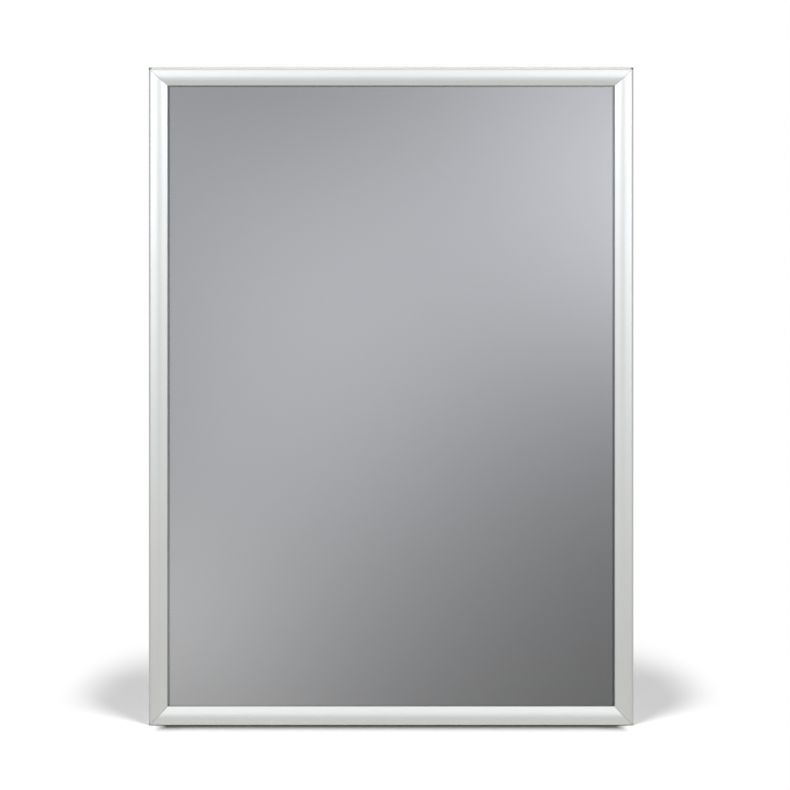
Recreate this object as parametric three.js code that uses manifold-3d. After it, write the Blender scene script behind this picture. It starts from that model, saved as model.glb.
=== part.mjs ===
// Aluminium snap frame for one A1 poster, portrait, in millimetres.
// +Z is up and the front faces -Y. The origin is under the middle of the bottom edge.
// Every rail is a section drawn in (u, v) and run along the rail: u is the distance from the
// frame's outer edge towards its middle, and v is the distance forward from the back face.
import * as THREE from "three";
import { mergeVertices } from "three/addons/utils/BufferGeometryUtils.js";
import Module from "manifold-3d";

const wasm = await Module();
wasm.setup();

// The poster and the sheets that hold it
const POSTER_WIDTH = 594;
const POSTER_HEIGHT = 841;
const PANEL_THICKNESS = 1.4;
const SHEET_THICKNESS = 0.5;

// The frame round them
const EDGE_TO_POSTER = 15; // from the frame's outer edge to the poster's edge
const FRAME_DEPTH = 11.5;
const FRONT_FACE_WIDTH = 24.5; // width of a front rail, seen square on
const CLEARANCE = 0.3; // between pieces that touch or turn on each other
const MITRE_GAP = 0.3; // across the cut between two neighbouring rails

// Hinge between each rear rail and its front rail
const BULB_RADIUS = 1.4;
const HOOK_WALL = 1.2;
const HOOK_TAIL_ANGLE = 190; // where the hook ends on the outer side, in degrees
const HOOK_HEEL_ANGLE = -30; // where it ends on the inner side
const NECK_ANGLE = 303; // direction of the neck under the bulb
const NECK_THICKNESS = 1;
const OPENING_ANGLE = 85; // how far a front rail swings open

// Front rail
const FRONT_WALL = 1.2;
const FACE_END = 9; // where the nearly flat face starts to turn into the bevel
const FACE_FALL_ANGLE = 3; // slope of the face there, in degrees
const BEND_RADIUS = 24; // round turn from face to bevel
const LIP_BEND_RADIUS = 3; // last turn, from the bevel down to the sheet
const LIP_END_ANGLE = 10; // direction that the lip's inner side faces, in degrees
const LEDGE_HEIGHT = 1; // rib that the springs press under
const LEDGE_START_ANGLE = -6;
const LEDGE_END_ANGLE = -19;

// Rear rail
const BED_THICKNESS = 1.2; // flat back of the rail, which the panel lies on
const BED_WIDTH = 23.5;
const OUTER_WALL = 1.2;
const RIB_THICKNESS = 1; // rib beside the panel's edge
const RIB_HEIGHT = 7.8;
const RIB_LIP_REACH = 0.9;
const RIB_LIP_THICKNESS = 0.8;

// Holes for the wall screws, in the channel of the rear rails
const WALL_HOLE_RADIUS = 2.25;
const WALL_HOLE_FROM_CORNER = 150;

// Corner keys and their countersunk screws
const KEY_THICKNESS = 2.5;
const KEY_LEG = 72;
const KEY_SCREW_FROM_CORNER = 46;
const SCREW_RADIUS = 1.5;
const SCREW_HEAD_RADIUS = 2.75;
const SCREW_HEAD_DEPTH = 1.2;
const SCREW_SINK = 0.1; // head below the back face
const SCREW_PAST_KEY = 0.3;
const DRIVE_LENGTH = 3.2;
const DRIVE_WIDTH = 0.8;
const DRIVE_DEPTH = 0.7;

// Bow springs between the hook's ledge and the rib's lip
const SPRING_WIDTH = 25;
const SPRING_THICKNESS = 0.45;
const SPRING_BOW = 2.7; // how far the strip bows towards the back
const KEY_TO_SPRING = 20; // along the rail, from a corner key's end to the first strip
const SIDE_SPRINGS = 4; // on each long side
const END_SPRINGS = 3; // on each short side

// Fineness of round stretches: the largest turn between two points of an arc, in degrees
const FACE_STEP_ANGLE = 6; // where the arc shows on the front
const STEP_ANGLE = 15; // elsewhere
const SCREW_SIDES = 16;
const PAST = 1; // how far a cutting tool runs past what it cuts

const radians = THREE.MathUtils.degToRad;
const degrees = THREE.MathUtils.radToDeg;

// Sizes that follow from those above
const frameWidth = POSTER_WIDTH + 2 * EDGE_TO_POSTER;
const frameHeight = POSTER_HEIGHT + 2 * EDGE_TO_POSTER;
const hookInner = BULB_RADIUS + CLEARANCE;
const hookOuter = hookInner + HOOK_WALL;
const pivot = new THREE.Vector2(hookOuter, FRAME_DEPTH - hookOuter);
const panelBack = BED_THICKNESS + CLEARANCE;
const sheetBack = panelBack + PANEL_THICKNESS + CLEARANCE;
const lipHeight = sheetBack + SHEET_THICKNESS + CLEARANCE;
const ribInner = EDGE_TO_POSTER - CLEARANCE;
const ribOuter = ribInner - RIB_THICKNESS;
const keyBack = BED_THICKNESS + CLEARANCE;
const keyFront = keyBack + KEY_THICKNESS;

// The neck under the bulb, and the leg that it stands on just clear of the swinging hook
const sweep = hookOuter + CLEARANCE;
const neckAlong = new THREE.Vector2(1, 0).rotateAround(new THREE.Vector2(), radians(NECK_ANGLE));
const neckAcross = new THREE.Vector2(-neckAlong.y, neckAlong.x).multiplyScalar(NECK_THICKNESS / 2);
const legOuter = pivot.x + sweep * neckAlong.x - neckAcross.x;
const legInner = legOuter + NECK_THICKNESS;

// The channel between the leg and the rib, which holds the corner keys
const keyOuter = legInner + CLEARANCE;
const keyInner = ribOuter - CLEARANCE;
const channelMiddle = (keyOuter + keyInner) / 2;

function polar(centre, radius, direction) {
  const angle = radians(direction);
  return new THREE.Vector2(
    centre.x + radius * Math.cos(angle),
    centre.y + radius * Math.sin(angle),
  );
}

// Points along an arc from one angle to another, both ends included.
function arc(centre, radius, from, to, stepAngle = STEP_ANGLE) {
  const steps = Math.max(1, Math.ceil(Math.abs(to - from) / stepAngle));
  const points = [];
  for (let i = 0; i <= steps; i += 1) {
    points.push(polar(centre, radius, from + ((to - from) * i) / steps));
  }
  return points;
}

function solid(geometry) {
  const bare = geometry.clone();
  bare.deleteAttribute("normal");
  bare.deleteAttribute("uv");
  const merged = mergeVertices(bare);
  return new wasm.Manifold(new wasm.Mesh({
    numProp: 3,
    vertProperties: new Float32Array(merged.attributes.position.array),
    triVerts: new Uint32Array(merged.index.array),
  }));
}

function geometryOf(body) {
  const mesh = body.getMesh();
  const geometry = new THREE.BufferGeometry();
  geometry.setAttribute("position", new THREE.BufferAttribute(mesh.vertProperties, 3));
  geometry.setIndex(new THREE.BufferAttribute(mesh.triVerts, 1));
  geometry.computeVertexNormals();
  return geometry;
}

function extrude(points, length) {
  return new THREE.ExtrudeGeometry(new THREE.Shape(points), {
    depth: length,
    bevelEnabled: false,
  });
}

// A section in (u, v) run along X from one place to another, with u up and v towards -Y.
function run(points, from, to) {
  const geometry = extrude(points, to - from);
  geometry.translate(0, 0, from);
  geometry.applyMatrix4(new THREE.Matrix4().makeBasis(
    new THREE.Vector3(0, 0, 1),
    new THREE.Vector3(0, -1, 0),
    new THREE.Vector3(1, 0, 0),
  ));
  geometry.translate(0, FRAME_DEPTH / 2, 0);
  return geometry;
}

// A plate outlined in (x, z), from one height above the back face to another.
function plate(points, back, front) {
  const geometry = extrude(points, front - back);
  geometry.applyMatrix4(new THREE.Matrix4().makeBasis(
    new THREE.Vector3(1, 0, 0),
    new THREE.Vector3(0, 0, 1),
    new THREE.Vector3(0, -1, 0),
  ));
  geometry.translate(0, FRAME_DEPTH / 2 - back, 0);
  return geometry;
}

// A round body about an axis square to the back face, from a closed (radius, v) profile.
function turned(profile, x, z) {
  const points = profile.map(([radius, v]) => new THREE.Vector2(radius, v));
  const geometry = new THREE.LatheGeometry(points, SCREW_SIDES);
  geometry.rotateX(Math.PI);
  geometry.translate(x, FRAME_DEPTH / 2, z);
  return geometry;
}

// Keeps what lies between the two mitre cuts of a rail of this length.
function betweenMitres(body, length) {
  const setBack = (MITRE_GAP / 2) * Math.SQRT2;
  const outer = length / 2 - setBack + PAST;
  const inner = length / 2 - setBack - FRONT_FACE_WIDTH - PAST;
  const outline = [
    new THREE.Vector2(-outer, -PAST),
    new THREE.Vector2(outer, -PAST),
    new THREE.Vector2(inner, FRONT_FACE_WIDTH + PAST),
    new THREE.Vector2(-inner, FRONT_FACE_WIDTH + PAST),
  ];
  return body.intersect(solid(plate(outline, -PAST, FRAME_DEPTH + PAST)));
}

// Front rail: a hook round the bulb, a gently falling face, a round turn, a bevel, and a lip
// turned down to the sheet.
function frontSection() {
  const fall = 90 - FACE_FALL_ANGLE;
  const faceRadius = (FACE_END - pivot.x) / Math.sin(radians(FACE_FALL_ANGLE));
  const faceCentre = new THREE.Vector2(pivot.x, FRAME_DEPTH - faceRadius);
  const bendCentre = polar(faceCentre, faceRadius - BEND_RADIUS, fall);
  const noseRadius = FRONT_WALL / 2;
  const nose = new THREE.Vector2(FRONT_FACE_WIDTH - noseRadius, lipHeight + noseRadius);
  const lipCentre = polar(nose, LIP_BEND_RADIUS - noseRadius, LIP_END_ANGLE + 180);
  const reach = lipCentre.clone().sub(bendCentre);
  const bevel = degrees(
    Math.atan2(reach.y, reach.x) + Math.acos((BEND_RADIUS - LIP_BEND_RADIUS) / reach.length()),
  );
  const ledgeTip = hookOuter + LEDGE_HEIGHT;
  const underFace = degrees(Math.asin((hookOuter - FRONT_WALL) / hookOuter));
  return [
    ...arc(pivot, hookOuter, HOOK_TAIL_ANGLE, 90, FACE_STEP_ANGLE),
    ...arc(faceCentre, faceRadius, 90, fall, FACE_FALL_ANGLE / 2).slice(1),
    ...arc(bendCentre, BEND_RADIUS, fall, bevel, FACE_STEP_ANGLE).slice(1),
    ...arc(lipCentre, LIP_BEND_RADIUS, bevel, LIP_END_ANGLE, FACE_STEP_ANGLE),
    ...arc(nose, noseRadius, LIP_END_ANGLE, LIP_END_ANGLE - 180).slice(1),
    ...arc(lipCentre, LIP_BEND_RADIUS - FRONT_WALL, LIP_END_ANGLE, bevel).slice(1),
    ...arc(bendCentre, BEND_RADIUS - FRONT_WALL, bevel, fall),
    ...arc(pivot, hookOuter, underFace, LEDGE_START_ANGLE),
    polar(pivot, ledgeTip, LEDGE_START_ANGLE),
    polar(pivot, ledgeTip, LEDGE_END_ANGLE),
    ...arc(pivot, hookOuter, LEDGE_END_ANGLE, HOOK_HEEL_ANGLE),
    ...arc(pivot, hookInner, HOOK_HEEL_ANGLE, HOOK_TAIL_ANGLE),
  ];
}

// The hook's tail stops short of each corner, so that two neighbouring rails can stand open.
function tailRelief() {
  const start = 180 - OPENING_ANGLE / 2;
  return [
    polar(pivot, hookInner / 2, start),
    polar(pivot, hookOuter + PAST, start),
    polar(pivot, hookOuter + 2 * PAST, (start + HOOK_TAIL_ANGLE) / 2),
    polar(pivot, hookOuter + PAST, HOOK_TAIL_ANGLE + STEP_ANGLE),
    polar(pivot, hookInner / 2, HOOK_TAIL_ANGLE + STEP_ANGLE),
  ];
}

function frontRail(length) {
  const swung = polar(pivot, hookOuter, HOOK_TAIL_ANGLE + OPENING_ANGLE);
  const reliefEnd = Math.max(swung.x, pivot.x) + CLEARANCE;
  const whole = solid(run(frontSection(), -length / 2, length / 2));
  const right = solid(run(tailRelief(), length / 2 - reliefEnd, length / 2 + PAST));
  const left = solid(run(tailRelief(), -length / 2 - PAST, -length / 2 + reliefEnd));
  return betweenMitres(whole, length).subtract(right).subtract(left);
}

// Rear rail: a flat bed, an outer wall, a neck carrying the hinge's bulb, and a rib with a lip.
function rearSection() {
  const halfNeck = degrees(Math.asin(NECK_THICKNESS / 2 / BULB_RADIUS));
  const onNeck = (u, side) => {
    const base = pivot.clone().addScaledVector(neckAcross, side);
    return new THREE.Vector2(u, base.y + ((u - base.x) * neckAlong.y) / neckAlong.x);
  };
  const wallTopOuter = 180 + degrees(Math.acos(pivot.x / sweep));
  const wallTopInner = 180 + degrees(Math.acos((pivot.x - OUTER_WALL) / sweep));
  return [
    new THREE.Vector2(0, 0),
    new THREE.Vector2(BED_WIDTH, 0),
    new THREE.Vector2(BED_WIDTH, BED_THICKNESS),
    new THREE.Vector2(ribInner, BED_THICKNESS),
    new THREE.Vector2(ribInner, RIB_HEIGHT),
    new THREE.Vector2(ribOuter - RIB_LIP_REACH, RIB_HEIGHT),
    new THREE.Vector2(ribOuter - RIB_LIP_REACH, RIB_HEIGHT - RIB_LIP_THICKNESS),
    new THREE.Vector2(ribOuter, RIB_HEIGHT - RIB_LIP_THICKNESS),
    new THREE.Vector2(ribOuter, BED_THICKNESS),
    new THREE.Vector2(legInner, BED_THICKNESS),
    onNeck(legInner, 1),
    ...arc(pivot, BULB_RADIUS, NECK_ANGLE - 360 + halfNeck, NECK_ANGLE - halfNeck),
    onNeck(legOuter, -1),
    new THREE.Vector2(legOuter, BED_THICKNESS),
    new THREE.Vector2(OUTER_WALL, BED_THICKNESS),
    ...arc(pivot, sweep, wallTopInner, wallTopOuter),
  ];
}

function rearRail(length) {
  let rail = betweenMitres(solid(run(rearSection(), -length / 2, length / 2)), length);
  const wallHole = [
    [0, -PAST],
    [WALL_HOLE_RADIUS, -PAST],
    [WALL_HOLE_RADIUS, BED_THICKNESS + PAST],
    [0, BED_THICKNESS + PAST],
  ];
  const headRim = SCREW_HEAD_RADIUS + CLEARANCE;
  const shankRim = SCREW_RADIUS + CLEARANCE;
  const screwHole = [
    [0, -PAST],
    [headRim, -PAST],
    [headRim, SCREW_SINK],
    [shankRim, SCREW_SINK + SCREW_HEAD_DEPTH - CLEARANCE],
    [shankRim, BED_THICKNESS + PAST],
    [0, BED_THICKNESS + PAST],
  ];
  for (const side of [-1, 1]) {
    const wallX = side * (length / 2 - WALL_HOLE_FROM_CORNER);
    const screwX = side * (length / 2 - KEY_SCREW_FROM_CORNER);
    rail = rail.subtract(solid(turned(wallHole, wallX, channelMiddle)));
    rail = rail.subtract(solid(turned(screwHole, screwX, channelMiddle)));
  }
  return rail;
}

// Corner key: a flat L that joins the channels of two rear rails.
function cornerKey() {
  const outline = [
    new THREE.Vector2(keyOuter, keyOuter),
    new THREE.Vector2(KEY_LEG, keyOuter),
    new THREE.Vector2(KEY_LEG, keyInner),
    new THREE.Vector2(keyInner, keyInner),
    new THREE.Vector2(keyInner, KEY_LEG),
    new THREE.Vector2(keyOuter, KEY_LEG),
  ];
  const hole = [
    [0, -PAST],
    [SCREW_RADIUS + CLEARANCE, -PAST],
    [SCREW_RADIUS + CLEARANCE, keyFront + PAST],
    [0, keyFront + PAST],
  ];
  return solid(plate(outline, keyBack, keyFront))
    .subtract(solid(turned(hole, KEY_SCREW_FROM_CORNER, channelMiddle)))
    .subtract(solid(turned(hole, channelMiddle, KEY_SCREW_FROM_CORNER)));
}

// Countersunk screw, driven from the back through the rear rail into the corner key.
function keyScrew() {
  const headEnd = SCREW_SINK + SCREW_HEAD_DEPTH;
  const body = solid(turned([
    [0, SCREW_SINK],
    [SCREW_HEAD_RADIUS, SCREW_SINK],
    [SCREW_RADIUS, headEnd],
    [SCREW_RADIUS, keyFront + SCREW_PAST_KEY],
    [0, keyFront + SCREW_PAST_KEY],
  ], 0, 0));
  const half = DRIVE_LENGTH / 2;
  const slot = (wide, high) => solid(plate([
    new THREE.Vector2(-wide, -high),
    new THREE.Vector2(wide, -high),
    new THREE.Vector2(wide, high),
    new THREE.Vector2(-wide, high),
  ], SCREW_SINK - PAST, SCREW_SINK + DRIVE_DEPTH));
  return body
    .subtract(slot(half, DRIVE_WIDTH / 2))
    .subtract(slot(DRIVE_WIDTH / 2, half));
}

// Bow spring: a strip bent towards the back, from under the hook's ledge to under the rib's lip.
function springSection() {
  const half = SPRING_THICKNESS / 2;
  const ledgeMiddle = LEDGE_END_ANGLE - degrees(
    (half + CLEARANCE) / hookOuter,
  );
  const outerEnd = polar(pivot, hookOuter + CLEARANCE + half, ledgeMiddle);
  const innerEnd = new THREE.Vector2(
    ribOuter - CLEARANCE - half,
    RIB_HEIGHT - RIB_LIP_THICKNESS - CLEARANCE - half,
  );
  const chord = outerEnd.distanceTo(innerEnd);
  const radius = (chord * chord) / (8 * SPRING_BOW) + SPRING_BOW / 2;
  const along = innerEnd.clone().sub(outerEnd).normalize();
  const centre = outerEnd.clone().lerp(innerEnd, 0.5)
    .add(new THREE.Vector2(-along.y, along.x).multiplyScalar(radius - SPRING_BOW));
  const toOuter = degrees(outerEnd.clone().sub(centre).angle());
  const toInner = degrees(innerEnd.clone().sub(centre).angle());
  const last = toInner < toOuter ? toInner + 360 : toInner;
  return [
    ...arc(centre, radius + half, toOuter, last),
    ...arc(centre, radius - half, last, toOuter),
  ];
}

function rectangle(width, height) {
  return [
    new THREE.Vector2(-width / 2, -height / 2),
    new THREE.Vector2(width / 2, -height / 2),
    new THREE.Vector2(width / 2, height / 2),
    new THREE.Vector2(-width / 2, height / 2),
  ];
}

const anodised = { color: 0xc9cac7, roughness: 0.38, metalness: 0.9 };
const zincSteel = { color: 0xa9adb0, roughness: 0.35, metalness: 0.95 };
const springSteel = { color: 0x6f7376, roughness: 0.3, metalness: 0.95 };
const greyPolystyrene = { color: 0x9b9da0, roughness: 0.7, metalness: 0 };
const clearFilm = {
  color: 0xf2f5f6, roughness: 0.35, metalness: 0, transparent: true, opacity: 0.25,
};

const frame = new THREE.Group();

function add(parent, name, geometry, look) {
  const mesh = new THREE.Mesh(geometry, new THREE.MeshStandardMaterial(look));
  mesh.name = name;
  parent.add(mesh);
  return mesh;
}

// The four sides, each in a group whose X runs along the rail and whose Z points inwards.
const sides = [
  { name: "bottom", x: 0, z: 0, turn: 0, upright: false },
  { name: "right", x: frameWidth / 2, z: frameHeight / 2, turn: -90, upright: true },
  { name: "top", x: 0, z: frameHeight, turn: 180, upright: false },
  { name: "left", x: -frameWidth / 2, z: frameHeight / 2, turn: 90, upright: true },
];

for (const { name, x, z, turn, upright } of sides) {
  const side = new THREE.Group();
  side.position.set(x, 0, z);
  side.rotation.y = radians(turn);
  frame.add(side);
  const length = upright ? frameHeight : frameWidth;
  add(side, `rear_rail_${name}`, geometryOf(rearRail(length)), anodised);
  add(side, `front_rail_${name}`, geometryOf(frontRail(length)), anodised);
  const count = upright ? SIDE_SPRINGS : END_SPRINGS;
  const firstSpring = KEY_LEG + KEY_TO_SPRING + SPRING_WIDTH / 2;
  const pitch = (length - 2 * firstSpring) / (count - 1);
  for (let i = 0; i < count; i += 1) {
    const middle = firstSpring + i * pitch - length / 2;
    const strip = run(springSection(), -SPRING_WIDTH / 2, SPRING_WIDTH / 2);
    add(side, `spring_${name}_${i + 1}`, strip, springSteel).position.x = middle;
  }
}

// The four corners, each in a group whose X and Z run along the two rails that meet there.
const corners = [
  { name: "bottom_left", x: -frameWidth / 2, z: 0, turn: 0 },
  { name: "bottom_right", x: frameWidth / 2, z: 0, turn: -90 },
  { name: "top_right", x: frameWidth / 2, z: frameHeight, turn: 180 },
  { name: "top_left", x: -frameWidth / 2, z: frameHeight, turn: 90 },
];

for (const { name, x, z, turn } of corners) {
  const corner = new THREE.Group();
  corner.position.set(x, 0, z);
  corner.rotation.y = radians(turn);
  frame.add(corner);
  add(corner, `corner_key_${name}`, geometryOf(cornerKey()), zincSteel);
  const first = add(corner, `key_screw_${name}_1`, geometryOf(keyScrew()), zincSteel);
  first.position.set(KEY_SCREW_FROM_CORNER, 0, channelMiddle);
  const second = add(corner, `key_screw_${name}_2`, geometryOf(keyScrew()), zincSteel);
  second.position.set(channelMiddle, 0, KEY_SCREW_FROM_CORNER);
}

const sheetOutline = rectangle(POSTER_WIDTH, POSTER_HEIGHT);
const panel = plate(sheetOutline, panelBack, panelBack + PANEL_THICKNESS);
add(frame, "back_panel", panel, greyPolystyrene).position.z = frameHeight / 2;
const film = plate(sheetOutline, sheetBack, sheetBack + SHEET_THICKNESS);
add(frame, "cover_sheet", film, clearFilm).position.z = frameHeight / 2;

export default frame;
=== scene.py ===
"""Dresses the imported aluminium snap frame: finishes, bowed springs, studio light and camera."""

import math

import bmesh
import bpy
from mathutils import Matrix, Vector


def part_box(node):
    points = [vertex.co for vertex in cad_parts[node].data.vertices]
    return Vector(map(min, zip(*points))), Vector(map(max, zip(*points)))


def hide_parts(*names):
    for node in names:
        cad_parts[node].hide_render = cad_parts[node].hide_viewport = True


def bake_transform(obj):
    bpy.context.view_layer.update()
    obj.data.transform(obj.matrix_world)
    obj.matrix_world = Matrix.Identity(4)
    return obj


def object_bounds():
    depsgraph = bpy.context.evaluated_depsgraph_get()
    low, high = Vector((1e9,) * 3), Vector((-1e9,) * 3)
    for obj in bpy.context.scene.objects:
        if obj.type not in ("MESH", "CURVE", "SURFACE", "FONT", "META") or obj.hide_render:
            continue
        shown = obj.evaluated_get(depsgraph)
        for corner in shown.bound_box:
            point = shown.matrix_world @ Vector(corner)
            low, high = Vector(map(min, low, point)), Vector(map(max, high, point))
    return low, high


MM = 0.001

# The photograph's view: its lengths in its own pixels, and the camera's distance in metres
PHOTO_SIDE = 790
FRAME_PIXELS_WIDE = 484.5
FRAME_CENTRE_X = 391.15
FRAME_CENTRE_Y = 396.0
VIEW_ELEVATION = math.radians(13.65)
CAMERA_DISTANCE = 4.0

# How each side of the frame is turned, about the depth axis, from the bottom one
TURNS = {"bottom": 0, "right": -90, "top": 180, "left": 90}
UPRIGHT = ("right", "left")

# The sheets that the rails hold
PANEL = ["cover_sheet", "back_panel"]

# The springs, in millimetres: places are inwards from the frame's edge and forward from its back
SPRING_OUTER_END = (5.885, 6.920)
SPRING_INNER_END = (13.175, 6.475)
SPRING_BOW = 2.7
SPRING_THICKNESS = 0.45
SPRING_WIDTH = 25.0
SPRING_CORNER = 2.5
SPRING_EDGE = 0.12

# Faces along a spring and across it
SPRING_ROWS = 26
SPRING_COLUMNS = 8

# Faces that meet at less than this are shaded as one round face
ROUND_BELOW = math.radians(20)

# The finishes: darkest and lightest colour, range of roughness, and spots per metre of each pattern
ALUMINIUM_COLOURS = ((0.449, 0.454, 0.430), (0.475, 0.480, 0.455))
ALUMINIUM_ROUGHNESS = (0.46, 0.60)
DIE_LINES_ALONG = 1.5
DIE_LINES_ACROSS = 1700.0
ALUMINIUM_CLOUD = 14.0
ALUMINIUM_GRAIN = 2600.0
ZINC_COLOURS = ((0.46, 0.48, 0.50), (0.66, 0.67, 0.66))
ZINC_ROUGHNESS = (0.26, 0.42)
ZINC_CLOUD = 260.0
SPRING_STEEL_COLOURS = ((0.24, 0.25, 0.27), (0.38, 0.39, 0.41))
SPRING_STEEL_ROUGHNESS = (0.34, 0.46)
SPRING_STEEL_CLOUD = 300.0
PANEL_COLOURS = ((0.222, 0.224, 0.226), (0.242, 0.244, 0.246))
# The colour of the back panel's painted shadow beside the lips
PANEL_LIP_SHADOW_COLOUR = (0.07, 0.07, 0.07)
PANEL_ROUGHNESS = 0.55
PANEL_PEEL = 420.0
FILM_COLOURS = ((0.188, 0.189, 0.190), (0.218, 0.219, 0.220))
# The colour of the film's painted shadow beside the lips
FILM_LIP_SHADOW_COLOUR = (0.05, 0.05, 0.05)
FILM_ROUGHNESS = (0.46, 0.54)
FILM_GRAIN = 900.0
FILM_SHINE = 0.8
FILM_OPACITY = 0.7

# The painted shadow on the sheets beside the front rails' lips: a dark line for the shade in the gap
# under them, in metres
TOP_LIP_SHADOW_TO_EDGE = 0.0249
SIDE_LIP_SHADOW_TO_EDGE = 0.0254
LIP_SHADOW_HALF_WIDTH = 0.0009
LIP_SHADOW_FADE_END = 0.0024

# The white surroundings' light on the frame, as a share of what the camera sees of them
AMBIENT = 0.08

# The floor, in metres. Its fade into white is an oval, slower from front to back than sideways
FLOOR_SIZE = 24
FLOOR_DROP = 0.0003
FLOOR_BOUNCE = (0.35, 0.35, 0.35)
FADE_START = 0.36
FADE_END = 0.445
FADE_DEPTH_SHARE = 0.6
GLOW_AT_FRAME = 0.1

# The shade on the floor round what stands on it, and how far out from the middle it runs
CONTACT_REACH = 0.042
CONTACT_DARKEST = 0.08
CONTACT_CLOSED = 0.68
CONTACT_FULL_TO = 0.288
CONTACT_END = 0.307

# The lamps' colours
RAIL_LIGHT = (0.86, 0.88, 1.0)
SHEEN_LIGHT = (0.92, 0.943, 1.0)
WHITE = (1, 1, 1)

# The rails' lamps: metres to the side of the frame's middle, and degrees that their grids let out
NEAR_LAMP_OUT = 0.42
NEAR_LAMP_SPREAD = 145
FAR_LAMP_OUT = 1.2
FAR_LAMP_SPREAD = 110

# Sockets of a node that mixes two colours, which has others of the same names
MIX_SHARE = 0
MIX_FIRST = 6
MIX_SECOND = 7
MIX_RESULT = 2


def new_material(name):
    material = bpy.data.materials.new(name)
    material.use_nodes = True
    tree = material.node_tree
    tree.nodes.clear()
    return material, tree, tree.nodes.new("ShaderNodeOutputMaterial")


def add_node(tree, kind, **values):
    node = tree.nodes.new(kind)
    for name, value in values.items():
        setattr(node, name, value)
    return node


def maths(tree, operation, *terms):
    """The result of a sum, whose terms are numbers or other nodes' outputs."""
    node = add_node(tree, "ShaderNodeMath", operation=operation)
    for term, socket in zip(terms, node.inputs):
        if isinstance(term, (int, float)):
            socket.default_value = term
        else:
            tree.links.new(term, socket)
    return node.outputs[0]


def own_place(tree):
    """The place in the object's own coordinates."""
    return add_node(tree, "ShaderNodeTexCoord").outputs["Object"]


def noise(tree, scale, detail):
    """Noise over the object's own coordinates, with one scale or its own along each axis."""
    mapping = add_node(tree, "ShaderNodeMapping")
    mapping.inputs["Scale"].default_value = scale if isinstance(scale, tuple) else (scale,) * 3
    field = add_node(tree, "ShaderNodeTexNoise")
    field.inputs["Scale"].default_value = 1.0
    field.inputs["Detail"].default_value = detail
    tree.links.new(own_place(tree), mapping.inputs["Vector"])
    tree.links.new(mapping.outputs["Vector"], field.inputs["Vector"])
    return field.outputs["Fac"]


def ranged(tree, value, results, between=(0, 1), kind="LINEAR"):
    """A value that goes from the first result to the second as the given one goes between two."""
    node = add_node(tree, "ShaderNodeMapRange", interpolation_type=kind)
    node.inputs["From Min"].default_value, node.inputs["From Max"].default_value = between
    node.inputs["To Min"].default_value, node.inputs["To Max"].default_value = results
    tree.links.new(value, node.inputs["Value"])
    return node.outputs["Result"]


def blended(tree, share, first, second):
    """A mix of two colours, each of them fixed or another node's output."""
    node = add_node(tree, "ShaderNodeMix", data_type="RGBA")
    tree.links.new(share, node.inputs[MIX_SHARE])
    for colour, socket in ((first, node.inputs[MIX_FIRST]), (second, node.inputs[MIX_SECOND])):
        if isinstance(colour, tuple):
            socket.default_value = (*colour, 1)
        else:
            tree.links.new(colour, socket)
    return node.outputs[MIX_RESULT]


def bumped(tree, height, distance, strength):
    node = add_node(tree, "ShaderNodeBump")
    node.inputs["Strength"].default_value = strength
    node.inputs["Distance"].default_value = distance
    tree.links.new(height, node.inputs["Height"])
    return node.outputs["Normal"]


def principled(tree, output, metallic, colour):
    shader = add_node(tree, "ShaderNodeBsdfPrincipled")
    shader.inputs["Metallic"].default_value = metallic
    tree.links.new(colour, shader.inputs["Base Color"])
    tree.links.new(shader.outputs["BSDF"], output.inputs["Surface"])
    return shader


def anodised_aluminium(upright):
    """Satin anodised extrusion, with fine die lines along the rail."""
    material, tree, output = new_material("anodised_upright" if upright else "anodised_level")
    along, across = DIE_LINES_ALONG, DIE_LINES_ACROSS
    lines = noise(tree, (across, across, along) if upright else (along, across, across), detail=2)
    cloud = noise(tree, ALUMINIUM_CLOUD, detail=3)
    grain = noise(tree, ALUMINIUM_GRAIN, detail=1)
    shader = principled(tree, output, 1, blended(tree, lines, *ALUMINIUM_COLOURS))
    mixed = maths(tree, "MULTIPLY", cloud, grain)
    tree.links.new(ranged(tree, mixed, ALUMINIUM_ROUGHNESS), shader.inputs["Roughness"])
    tree.links.new(bumped(tree, lines, distance=0.00002, strength=0.4), shader.inputs["Normal"])
    return material


def cloudy_metal(name, spots, colours, roughness):
    """A metal whose colour and roughness vary together in soft spots."""
    material, tree, output = new_material(name)
    cloud = noise(tree, spots, detail=4)
    shader = principled(tree, output, 1, blended(tree, cloud, *colours))
    tree.links.new(ranged(tree, cloud, roughness), shader.inputs["Roughness"])
    return material


def zinc_plated_steel():
    return cloudy_metal("zinc_plated_steel", ZINC_CLOUD, ZINC_COLOURS, ZINC_ROUGHNESS)


def spring_steel():
    colours, roughness = SPRING_STEEL_COLOURS, SPRING_STEEL_ROUGHNESS
    return cloudy_metal("rolled_spring_steel", SPRING_STEEL_CLOUD, colours, roughness)


def past_middle(tree, axis, middle=0, reach=0):
    """How far past a reach from the middle a point lies, on either side of it along one axis."""
    parts = add_node(tree, "ShaderNodeSeparateXYZ")
    tree.links.new(own_place(tree), parts.inputs[0])
    from_middle = maths(tree, "ABSOLUTE", maths(tree, "SUBTRACT", parts.outputs[axis], middle))
    return maths(tree, "SUBTRACT", from_middle, reach)


def painted_lip_shadow(tree, colour, shadow_colour):
    """The colour, with a painted shadow: a dark line along the opening's top and its two sides, where
    the lips shade the sheets.
    """
    low, high = cad_box
    half = (high[0] - low[0]) / 2
    across = past_middle(tree, "X", low[0] + half, half - SIDE_LIP_SHADOW_TO_EDGE)
    upwards = past_middle(tree, "Z", low[2], high[2] - low[2] - TOP_LIP_SHADOW_TO_EDGE)
    distance = maths(tree, "ABSOLUTE", maths(tree, "MAXIMUM", across, upwards))
    shadow_share = ranged(tree, distance, (0, 1), (LIP_SHADOW_FADE_END, LIP_SHADOW_HALF_WIDTH), "SMOOTHSTEP")
    return blended(tree, shadow_share, colour, shadow_colour)


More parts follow.
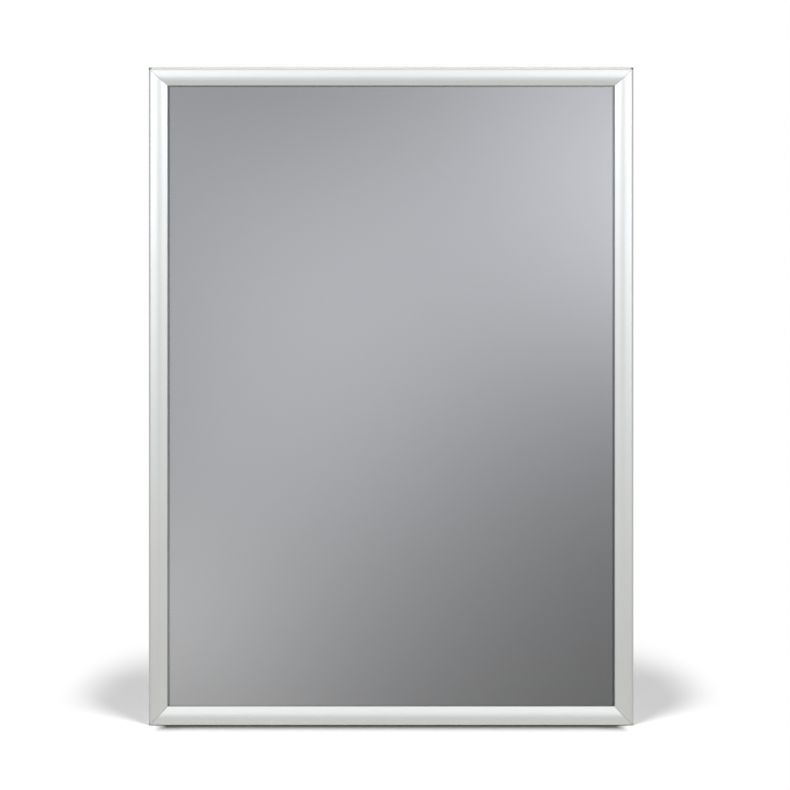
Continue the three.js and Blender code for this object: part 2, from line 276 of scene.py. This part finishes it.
def grey_polystyrene():
    """Matte grey back panel with the faint orange peel of extruded sheet, and a painted shadow beside
    the lips.
    """
    material, tree, output = new_material("grey_polystyrene")
    peel = noise(tree, PANEL_PEEL, detail=3)
    # The peel's colour, darkened by the painted shadow beside the lips
    colour = painted_lip_shadow(tree, blended(tree, peel, *PANEL_COLOURS), PANEL_LIP_SHADOW_COLOUR)
    shader = principled(tree, output, 0, colour)
    shader.inputs["Roughness"].default_value = PANEL_ROUGHNESS
    tree.links.new(bumped(tree, peel, distance=0.00003, strength=0.35), shader.inputs["Normal"])
    return material


def anti_glare_film():
    """Clear film with a matte face: a haze over what is behind it, a soft broad shine, and a painted
    shadow beside the lips.
    """
    material, tree, output = new_material("anti_glare_film")
    grain = noise(tree, FILM_GRAIN, detail=2)
    # The grain's colour, darkened by the painted shadow beside the lips
    colour = painted_lip_shadow(tree, blended(tree, grain, *FILM_COLOURS), FILM_LIP_SHADOW_COLOUR)
    shader = principled(tree, output, 0, colour)
    tree.links.new(ranged(tree, grain, FILM_ROUGHNESS), shader.inputs["Roughness"])
    shader.inputs["Specular IOR Level"].default_value = FILM_SHINE
    shader.inputs["Alpha"].default_value = FILM_OPACITY
    return material


def dress(node, material):
    """Gives a CAD node one material, through its material slots."""
    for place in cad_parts[node].material_slots:
        place.material = material


def smoother():
    """A modifier group that smooths faces meeting at a small angle and keeps real edges sharp."""
    group = bpy.data.node_groups.new("smooth_small_angles", "GeometryNodeTree")
    group.interface.new_socket("Geometry", in_out="INPUT", socket_type="NodeSocketGeometry")
    group.interface.new_socket("Geometry", in_out="OUTPUT", socket_type="NodeSocketGeometry")
    enter = group.nodes.new("NodeGroupInput")
    leave = group.nodes.new("NodeGroupOutput")
    angle = group.nodes.new("GeometryNodeInputMeshEdgeAngle")
    small = add_node(group, "FunctionNodeCompare", operation="LESS_EQUAL")
    small.inputs[1].default_value = ROUND_BELOW
    faces = add_node(group, "GeometryNodeSetShadeSmooth", domain="FACE")
    edges = add_node(group, "GeometryNodeSetShadeSmooth", domain="EDGE")
    group.links.new(angle.outputs["Unsigned Angle"], small.inputs[0])
    group.links.new(enter.outputs[0], faces.inputs["Geometry"])
    group.links.new(faces.outputs[0], edges.inputs["Geometry"])
    group.links.new(small.outputs["Result"], edges.inputs["Shade Smooth"])
    group.links.new(edges.outputs[0], leave.inputs[0])
    return group


def smooth(obj, group):
    modifier = obj.modifiers.new("smooth_small_angles", "NODES")
    modifier.node_group = group


def side_place(side):
    """Where a side's own frame is: X along the rail, Y to the back, Z inwards from its edge."""
    low, high = cad_box
    centre = Vector(((low[0] + high[0]) / 2, 0, (low[2] + high[2]) / 2))
    turn = Matrix.Rotation(math.radians(TURNS[side]), 4, "Y")
    reach = high[0] - low[0] if side in UPRIGHT else high[2] - low[2]
    return Matrix.Translation(centre) @ turn @ Matrix.Translation((0, 0, -reach / 2))


def in_section(along, inwards, forward):
    """A point of a side's section, from millimetres to the side's own frame."""
    return Vector((along, cad_box[1][1] / MM - forward, inwards)) * MM


def spring_arc():
    """The strip's middle line as (place, normal, length so far) rows, and its whole length."""
    outer, inner = Vector(SPRING_OUTER_END), Vector(SPRING_INNER_END)
    chord = (inner - outer).length
    radius = chord * chord / (8 * SPRING_BOW) + SPRING_BOW / 2
    along = (inner - outer).normalized()
    centre = (outer + inner) / 2 + Vector((-along.y, along.x)) * (radius - SPRING_BOW)
    first = math.atan2(outer.y - centre.y, outer.x - centre.x)
    last = math.atan2(inner.y - centre.y, inner.x - centre.x)
    if last < first:
        last += 2 * math.pi
    length = radius * (last - first)
    rows = []
    for i in range(SPRING_ROWS + 1):
        share = (1 - math.cos(math.pi * i / SPRING_ROWS)) / 2
        angle = first + (last - first) * share
        normal = Vector((math.cos(angle), math.sin(angle)))
        rows.append((centre + normal * radius, normal, share * length))
    return rows, length


def spring_profile(to_end):
    """The strip's outline across, this far from its nearer end, as (sideways, face) pairs."""
    short = SPRING_CORNER - min(SPRING_CORNER, to_end)
    half = SPRING_WIDTH / 2 - SPRING_CORNER + math.sqrt(SPRING_CORNER**2 - short**2)
    edge = half - SPRING_EDGE
    across = [edge * (2 * i / SPRING_COLUMNS - 1) for i in range(SPRING_COLUMNS + 1)]
    front = [(x, 1) for x in across] + [(half, 0)]
    return front + [(x, -1) for x in reversed(across)] + [(-half, 0)]


def spring_piece(name, side, middle):
    """One bow spring: a thin strip with rounded corners and eased edges."""
    rows, length = spring_arc()
    mesh = bmesh.new()
    rings = []
    for point, normal, run in rows:
        ring = []
        for x, face in spring_profile(min(run, length - run)):
            place = point + normal * face * SPRING_THICKNESS / 2
            ring.append(mesh.verts.new(in_section(middle / MM + x, place.x, place.y)))
        rings.append(ring)
    for ring, following in zip(rings, rings[1:]):
        for i, vertex in enumerate(ring):
            j = (i + 1) % len(ring)
            mesh.faces.new((vertex, ring[j], following[j], following[i]))
    mesh.faces.new(reversed(rings[0]))
    mesh.faces.new(rings[-1])
    mesh.transform(side_place(side))
    bmesh.ops.recalc_face_normals(mesh, faces=mesh.faces)
    data = bpy.data.meshes.new(name)
    mesh.to_mesh(data)
    mesh.free()
    piece = bpy.data.objects.new(name, data)
    bpy.context.scene.collection.objects.link(piece)
    return piece


def bending_spring(node, side, material, group):
    """The bowed spring strip that stands for a CAD node, arched between its rear and front rails."""
    place = side_place(side)
    low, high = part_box(node)
    middle = place.inverted() @ ((Vector(low) + Vector(high)) / 2)
    piece = spring_piece(f"bent_{node}", side, middle.x)
    piece.data.materials.append(material)
    smooth(piece, group)
    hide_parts(node)
    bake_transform(piece)


def dress_frame():
    """Finishes every piece, and stands bowed spring strips in for the stiff CAD ones."""
    level = anodised_aluminium(upright=False)
    standing = anodised_aluminium(upright=True)
    zinc = zinc_plated_steel()
    steel = spring_steel()
    rounding = smoother()
    for side in TURNS:
        for rail in (f"front_rail_{side}", f"rear_rail_{side}"):
            dress(rail, standing if side in UPRIGHT else level)
            smooth(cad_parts[rail], rounding)
    for name in sorted(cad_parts):
        if name.startswith(("corner_key", "key_screw")):
            dress(name, zinc)
            smooth(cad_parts[name], rounding)
        if name.startswith("spring"):
            dress(name, steel)
            bending_spring(name, name.split("_")[1], steel, rounding)
    dress("back_panel", grey_polystyrene())
    dress("cover_sheet", anti_glare_film())


def rails_of(*sides):
    return [f"{kind}_{side}" for kind in ("front_rail", "rear_rail") for side in sides]


def hang(name, data, axis, direction):
    """Puts a lamp in the scene, out of the camera's sight, with one axis turned in a direction."""
    obj = bpy.data.objects.new(name, data)
    obj.rotation_euler = direction.to_track_quat(axis, "Y").to_euler()
    obj.visible_camera = False
    bpy.context.scene.collection.objects.link(obj)
    return obj


def link(obj, nodes, state="INCLUDE"):
    """Lets a lamp's light fall on these parts of the frame alone, or on all but them."""
    group = bpy.data.collections.new(obj.name + "_receivers")
    for node in nodes:
        group.objects.link(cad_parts[node])
    for member in group.collection_objects:
        member.light_linking.link_state = state
    obj.light_linking.receiver_collection = group


def linked_lamp(receivers, name, place, aim, size, power, spread, colour):
    """A lamp with a grid over it, whose light falls on some of the frame's parts alone."""
    data = bpy.data.lights.new(name, "AREA")
    data.shape = "RECTANGLE"
    data.size, data.size_y = size
    data.energy = power
    data.color = colour
    data.spread = math.radians(spread)
    obj = hang(name, data, "-Z", Vector(aim) - Vector(place))
    obj.location = place
    link(obj, receivers)


def sun(name, azimuth, elevation, angle, strength):
    """A soft distant lamp, placed by where it stands seen from the frame's front."""
    data = bpy.data.lights.new(name, "SUN")
    data.energy = strength
    data.angle = math.radians(angle)
    a, e = math.radians(azimuth), math.radians(elevation)
    towards = Vector((math.sin(a) * math.cos(e), -math.cos(a) * math.cos(e), math.sin(e)))
    return hang(name, data, "Z", towards)


def light_frame():
    """The suns: two for the floor's shadows, one for the back and one for the rails."""
    lit_by_lamps = rails_of(*TURNS) + PANEL
    right = sun("key_right", azimuth=37, elevation=63.5, angle=14, strength=1.6)
    link(right, lit_by_lamps, "EXCLUDE")
    left = sun("key_left", azimuth=-34, elevation=63.5, angle=14, strength=1.6)
    link(left, lit_by_lamps, "EXCLUDE")
    back = sun("back_fill", azimuth=160, elevation=40, angle=30, strength=1.6)
    link(back, sorted(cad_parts))
    sky = sun("rail_sky", azimuth=0, elevation=67, angle=40, strength=0.5)
    link(sky, rails_of(*TURNS))


def light_rails(side, outwards, own, level, far, top):
    """One side's lamps, with a power for its own rails, the level ones, those across and the top.

    The top's lamp hangs lower than the frame's top, to keep off its upper side.
    """
    x = outwards * NEAR_LAMP_OUT
    hung = {"place": (x, -1.2, 0.6), "aim": (x, 0, 0.9), "size": (0.5, 0.3)}
    look = {"spread": NEAR_LAMP_SPREAD, "colour": RAIL_LIGHT}
    linked_lamp(rails_of(side), f"front_{side}", power=own, **hung, **look)
    linked_lamp(rails_of("top", "bottom"), f"level_{side}", power=level, **hung, **look)
    x = outwards * FAR_LAMP_OUT
    hung = {"place": (x, -0.9, 1.1), "aim": (0, 0, 0.9), "size": (0.4, 0.6)}
    look = {"spread": FAR_LAMP_SPREAD, "colour": RAIL_LIGHT}
    others = rails_of(*[other for other in TURNS if other not in (side, "top")])
    linked_lamp(others, f"far_{side}", power=far, **hung, **look)
    hung = {"place": (x, -0.9, 0.7), "aim": (0, 0, 0.86), "size": (0.4, 0.3)}
    linked_lamp(rails_of("top"), f"far_top_{side}", power=top, **hung, **look)


def sheen(name, place, aim, size, power, spread, colour=SHEEN_LIGHT):
    """A lamp for the sheets alone, whose blurred reflection is a part of their sheen."""
    linked_lamp(PANEL, f"sheen_{name}", place, aim, size, power, spread, colour)


def light_panel():
    """The sheen of the sheets, brightest at the upper right and dim at the lower right."""
    square, long, short = (0.4, 0.4), (0.9, 0.15), (0.4, 0.15)
    sheen("right_top", (0.35, -0.5, 0.85), (0.3, 0, 0.8), square, power=1.57, spread=140)
    sheen("right_side", (0.5, -0.4, 0.65), (0.25, 0, 0.68), (0.2, 0.3), power=1.36, spread=110)
    sheen("upper", (0.05, -0.5, 0.6), (0.03, 0, 0.66), square, power=0.46, spread=120)
    sheen("middle", (-0.15, -0.5, 0.42), (-0.17, 0, 0.46), square, power=0.91, spread=110)
    sheen("left_high", (-0.5, -0.45, 0.8), (-0.3, 0, 0.8), (0.3, 0.3), power=1.02, spread=130)
    sheen("low", (0.1, -0.6, 0), (0.1, 0, 0.02), long, power=0.67, spread=140, colour=WHITE)
    sheen("left_low", (-0.4, -0.45, 0.06), (-0.3, 0, 0.02), short, power=1.7, spread=140, colour=WHITE)


def seen_directly(tree):
    """1 for rays of the camera, of shine and of glass, and 0 for those that carry light."""
    path = add_node(tree, "ShaderNodeLightPath")
    seen = maths(tree, "MAXIMUM", path.outputs["Is Camera Ray"], path.outputs["Is Glossy Ray"])
    return maths(tree, "MAXIMUM", seen, path.outputs["Is Transmission Ray"])


def white_world():
    world = bpy.data.worlds.new("white_studio")
    bpy.context.scene.world = world
    world.use_nodes = True
    tree = world.node_tree
    background = tree.nodes["Background"]
    background.inputs["Color"].default_value = (*WHITE, 1)
    strength = ranged(tree, seen_directly(tree), (AMBIENT, 1))
    tree.links.new(strength, background.inputs["Strength"])


def contact_shade(tree):
    """The white floor as the camera sees it, darker where something stands close on it."""
    open_sky = add_node(tree, "ShaderNodeAmbientOcclusion", samples=24)
    open_sky.inputs["Distance"].default_value = CONTACT_REACH
    share = ranged(tree, open_sky.outputs["AO"], (CONTACT_DARKEST, 1), (CONTACT_CLOSED, 1))
    ending = ranged(tree, past_middle(tree, "X"), (0, 1), (CONTACT_FULL_TO, CONTACT_END))
    shaded = blended(tree, maths(tree, "MAXIMUM", share, ending), (0, 0, 0), WHITE)
    path = add_node(tree, "ShaderNodeLightPath")
    return blended(tree, path.outputs["Is Camera Ray"], WHITE, shaded)


def floor_fade(tree):
    """How much of the floor is taken over by even white, by the distance from its middle."""
    flattened = add_node(tree, "ShaderNodeVectorMath", operation="MULTIPLY")
    flattened.inputs[1].default_value = (1, FADE_DEPTH_SHARE, 1)
    tree.links.new(own_place(tree), flattened.inputs[0])
    distance = add_node(tree, "ShaderNodeVectorMath", operation="LENGTH")
    tree.links.new(flattened.outputs["Vector"], distance.inputs[0])
    between = (FADE_START, FADE_END)
    return ranged(tree, distance.outputs["Value"], (GLOW_AT_FRAME, 1), between, "SMOOTHSTEP")


def mix_shaders(tree, share, first, second):
    mix = add_node(tree, "ShaderNodeMixShader")
    tree.links.new(share, mix.inputs["Fac"])
    tree.links.new(first, mix.inputs[1])
    tree.links.new(second, mix.inputs[2])
    return mix.outputs["Shader"]


def floor_material():
    """White where it is seen, and greyer for the light that it throws back on the frame."""
    material, tree, output = new_material("white_floor")
    bouncing = add_node(tree, "ShaderNodeBsdfDiffuse")
    bouncing.inputs["Color"].default_value = (*FLOOR_BOUNCE, 1)
    white = add_node(tree, "ShaderNodeBsdfDiffuse")
    glow = add_node(tree, "ShaderNodeEmission")
    shade = contact_shade(tree)
    tree.links.new(shade, white.inputs["Color"])
    tree.links.new(shade, glow.inputs["Color"])
    shown = mix_shaders(tree, floor_fade(tree), white.outputs["BSDF"], glow.outputs["Emission"])
    surface = mix_shaders(tree, seen_directly(tree), bouncing.outputs["BSDF"], shown)
    tree.links.new(surface, output.inputs["Surface"])
    return material


def white_floor():
    """A floor that takes shadows near the frame and runs out into the white backdrop."""
    bpy.ops.mesh.primitive_grid_add(x_subdivisions=8, y_subdivisions=8, size=FLOOR_SIZE)
    floor = bpy.context.object
    floor.name = "floor"
    floor.location.z = -FLOOR_DROP
    floor.data.materials.append(floor_material())


def photo_camera():
    """A camera with parallel rays, because the frame's sides are parallel in the photograph."""
    low, high = cad_box
    pixel = (high[0] - low[0]) / FRAME_PIXELS_WIDE
    data = bpy.data.cameras.new("photo_camera")
    data.type = "ORTHO"
    data.ortho_scale = PHOTO_SIDE * pixel
    camera = bpy.data.objects.new("photo_camera", data)
    up = Vector((0, math.sin(VIEW_ELEVATION), math.cos(VIEW_ELEVATION)))
    back = Vector((0, -math.cos(VIEW_ELEVATION), math.sin(VIEW_ELEVATION)))
    aim = Vector(((PHOTO_SIDE / 2 - FRAME_CENTRE_X) * pixel, 0, high[2] / 2))
    aim += up * (FRAME_CENTRE_Y - PHOTO_SIDE / 2) * pixel
    camera.location = aim + back * CAMERA_DISTANCE
    camera.rotation_euler = (math.pi / 2 - VIEW_ELEVATION, 0, 0)
    bpy.context.scene.collection.objects.link(camera)
    bpy.context.scene.camera = camera


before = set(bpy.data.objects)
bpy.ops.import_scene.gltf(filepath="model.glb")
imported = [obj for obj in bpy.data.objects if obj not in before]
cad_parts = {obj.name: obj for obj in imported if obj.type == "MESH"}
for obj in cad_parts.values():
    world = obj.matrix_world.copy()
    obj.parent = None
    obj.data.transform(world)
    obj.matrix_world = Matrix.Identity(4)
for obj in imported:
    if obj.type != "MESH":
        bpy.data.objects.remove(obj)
cad_box = [list(corner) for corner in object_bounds()]

photo_camera()
white_world()
white_floor()
light_frame()
light_rails("left", outwards=-1, own=4.0, level=1.5, far=12.3, top=8.8)
light_rails("right", outwards=1, own=3.9, level=1.4, far=11.5, top=9.0)
light_panel()
dress_frame()

bpy.context.scene.view_settings.view_transform = "Standard"
